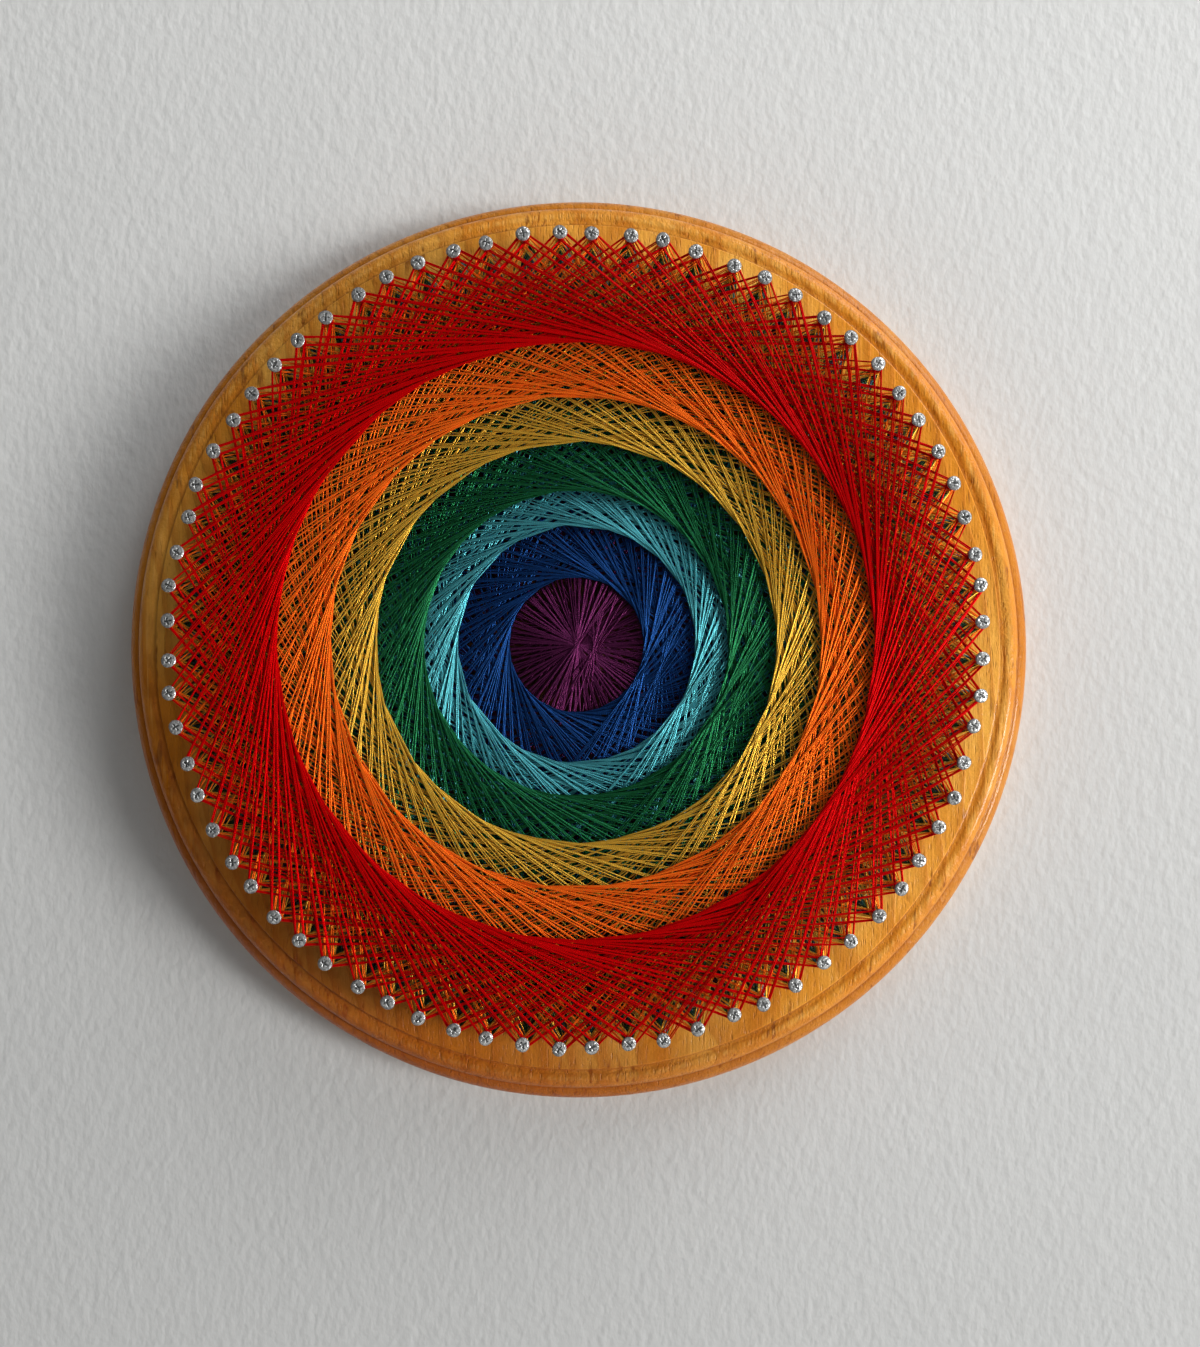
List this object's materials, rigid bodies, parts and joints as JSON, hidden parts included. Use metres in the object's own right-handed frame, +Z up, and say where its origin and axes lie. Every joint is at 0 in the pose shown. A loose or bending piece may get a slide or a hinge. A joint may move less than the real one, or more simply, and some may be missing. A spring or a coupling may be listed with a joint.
{
  "type": "string art on a round wooden board",
  "caption": "Round wooden wall plaque with a ring of nails and rainbow-coloured threads wound between them in concentric webs.",
  "frame": {"origin": "centre of the board's flat back face", "axes": "+Y out of the back, into the wall; the threaded face looks along -Y; +Z up"},
  "size_m": [0.25, 0.034, 0.25],
  "materials": {
    "board_wood": "stained and varnished pine, semi-gloss; the nails fused to it are galvanised steel",
    "thread_red": "red twisted cotton thread with a slight sheen",
    "thread_orange": "orange twisted cotton thread with a slight sheen",
    "thread_yellow": "yellow twisted cotton thread with a slight sheen",
    "thread_green": "green twisted cotton thread with a slight sheen",
    "thread_light_blue": "light blue twisted cotton thread with a slight sheen",
    "thread_blue": "blue twisted cotton thread with a slight sheen",
    "thread_purple": "purple twisted cotton thread with a slight sheen"
  },
  "bodies": {
    "root": {"board_with_nails": "board_wood", "web_red": "thread_red", "web_orange": "thread_orange", "web_yellow": "thread_yellow", "web_green": "thread_green", "web_light_blue": "thread_light_blue", "web_blue": "thread_blue", "web_purple": "thread_purple"}
  },
  "joints": []
}
